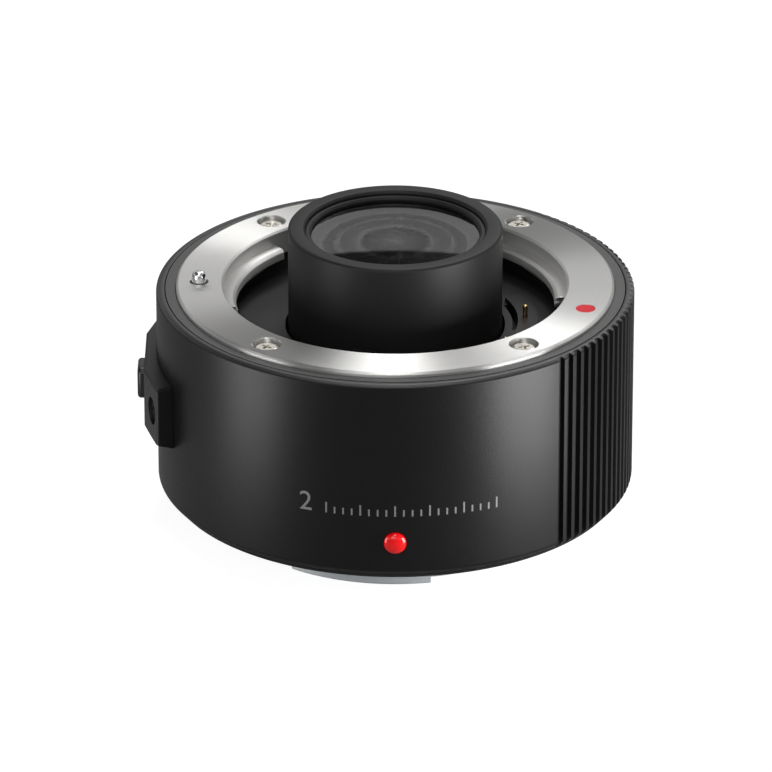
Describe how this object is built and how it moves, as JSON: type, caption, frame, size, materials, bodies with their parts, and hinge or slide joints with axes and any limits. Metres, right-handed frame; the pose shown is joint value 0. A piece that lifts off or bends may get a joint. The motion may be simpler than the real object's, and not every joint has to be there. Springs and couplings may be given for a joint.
{
  "type": "camera teleconverter",
  "caption": "Short ring-shaped optical converter: steel lens bayonet round a protruding black lens tube, sprung release button and lock pin, and a rear camera bayonet.",
  "frame": {"origin": "on the optical axis, in the plane of the rear mounting flange", "axes": "+Z along the optical axis towards the lens, -X towards the release button, -Y towards the red index bead"},
  "size_m": [0.0637, 0.062, 0.04],
  "materials": {
    "barrel_black": "satin black paint with a fine grain",
    "chassis_black": "satin dark grey paint",
    "steel_mount": "fine turned finish",
    "rear_steel": "matt chrome finish",
    "screw_steel": "bright plated",
    "red_paint": "gloss paint fill",
    "red_bead": "glossy dome",
    "spring_steel": "drawn wire",
    "floor_grey": "dark matt moulding",
    "block_black": "black moulding",
    "gold": "gold plated",
    "board_green": "circuit board",
    "chip_black": "moulded case",
    "flex_amber": "polyimide film",
    "tube_black": "matt anti-reflection paint",
    "coated_glass": "polished, with anti-reflection coating",
    "housing_black": "satin black paint",
    "button_black": "satin moulding",
    "pin_chrome": "polished",
    "sheet_steel": "pressed sheet"
  },
  "bodies": {
    "root": {"outer_barrel": "barrel_black", "front_frame": "chassis_black", "rear_frame": "barrel_black", "frame_screws": "screw_steel", "front_mount_ring": "steel_mount", "front_mount_screws": "screw_steel", "front_index_dot": "red_paint", "bayonet_spring": "spring_steel", "inner_baffle": "floor_grey", "baffle_screws": "screw_steel", "front_contact_block": "block_black", "contact_pin_springs": "spring_steel", "front_contact_board": "flex_amber", "contact_block_screws": "screw_steel", "rear_mount": "rear_steel", "rear_mount_screws": "screw_steel", "rear_baffle": "block_black", "rear_contact_block": "block_black", "rear_contact_pads": "gold", "rear_contact_screws": "screw_steel", "main_board": "board_green", "board_connectors": "chip_black", "controller_chip": "chip_black", "board_screws": "screw_steel", "front_flex": "flex_amber", "rear_flex": "flex_amber", "lens_tube": "tube_black", "tube_screws": "screw_steel", "release_housing": "housing_black", "housing_screws": "screw_steel", "button_spring": "spring_steel", "lock_pin_spring": "spring_steel", "release_bracket": "sheet_steel", "bracket_screws": "screw_steel", "lever_pivot_pin": "pin_chrome", "side_index_bead": "red_bead", "front_retainer": "tube_black", "rear_retainer": "tube_black", "front_spacer": "tube_black", "middle_spacer": "tube_black", "rear_spacer": "tube_black", "lens_element_1": "coated_glass", "lens_element_2": "coated_glass", "lens_element_3": "coated_glass", "lens_element_4": "coated_glass", "lens_element_5": "coated_glass", "lens_element_6": "coated_glass", "lens_element_7": "coated_glass"},
    "button": {"release_button": "button_black", "button_plunger": "pin_chrome"},
    "lock_pin": {"lock_pin": "pin_chrome"},
    "lever": {"release_lever": "sheet_steel"},
    "contact_pins": {"front_contact_pins": "gold"}
  },
  "joints": [
    {"name": "button_press", "type": "slide", "parent": "root", "child": "button", "axis": [1, 0, 0], "range_m": [0, 0.0009], "stiffness_N_per_m": 1200, "deforming": ["button_spring"]},
    {"name": "lever_turn", "type": "hinge", "parent": "root", "child": "lever", "pos_m": [-0.019, 0, 0.0171], "axis": [0, -1, 0], "range_deg": [0, 14.4]},
    {"name": "lock_pin_slide", "type": "slide", "parent": "root", "child": "lock_pin", "axis": [0, 0, -1], "range_m": [0, 0.0015], "deforming": ["lock_pin_spring"]},
    {"name": "contact_pins_press", "type": "slide", "parent": "root", "child": "contact_pins", "axis": [0, 0, -1], "range_m": [0, 0.001], "stiffness_N_per_m": 1500, "deforming": ["contact_pin_springs"]}
  ],
  "couplings": [
    {"joint": "lever_turn", "follows": "button_press", "rad_per_m": 277.8},
    {"joint": "lock_pin_slide", "follows": "button_press", "ratio": 1.6666}
  ]
}
